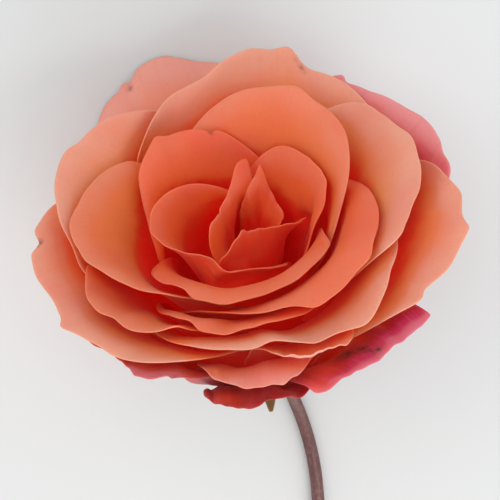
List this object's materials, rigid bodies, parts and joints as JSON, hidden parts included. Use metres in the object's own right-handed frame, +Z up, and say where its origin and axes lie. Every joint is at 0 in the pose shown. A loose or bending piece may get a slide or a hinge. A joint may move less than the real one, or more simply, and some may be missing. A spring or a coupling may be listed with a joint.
{
  "type": "cut rose",
  "caption": "Fully open garden rose with nested waved petals, sepals and hidden stamens on a short bare stem, lying on its side.",
  "frame": {"origin": "centre of the bounding box's footprint, on the surface that the rose lies on", "axes": "+Z up from the surface, +Y from the stem's cut end towards the bloom, +X across the bloom"},
  "size_m": [0.0948, 0.184, 0.0831],
  "materials": {
    "petal": "satin",
    "guard_petal": "satin",
    "sepal": "matte",
    "stamen": "matte",
    "stem": "satin"
  },
  "bodies": {
    "root": {"guard_petal_1": "guard_petal", "guard_petal_2": "guard_petal", "guard_petal_3": "guard_petal", "guard_petal_4": "guard_petal", "guard_petal_5": "guard_petal", "hip_and_stem": "stem", "inner_petal_1": "petal", "inner_petal_2": "petal", "inner_petal_3": "petal", "inner_petal_4": "petal", "inner_petal_5": "petal", "inner_petal_6": "petal", "inner_petal_7": "petal", "middle_petal_1": "petal", "middle_petal_2": "petal", "middle_petal_3": "petal", "middle_petal_4": "petal", "middle_petal_5": "petal", "middle_petal_6": "petal", "outer_petal_1": "petal", "outer_petal_2": "petal", "outer_petal_3": "petal", "outer_petal_4": "petal", "outer_petal_5": "petal", "outer_petal_6": "petal", "outer_petal_7": "petal", "sepal_1": "sepal", "sepal_2": "sepal", "sepal_3": "sepal", "sepal_4": "sepal", "sepal_5": "sepal", "stamens": "stamen"}
  },
  "joints": []
}
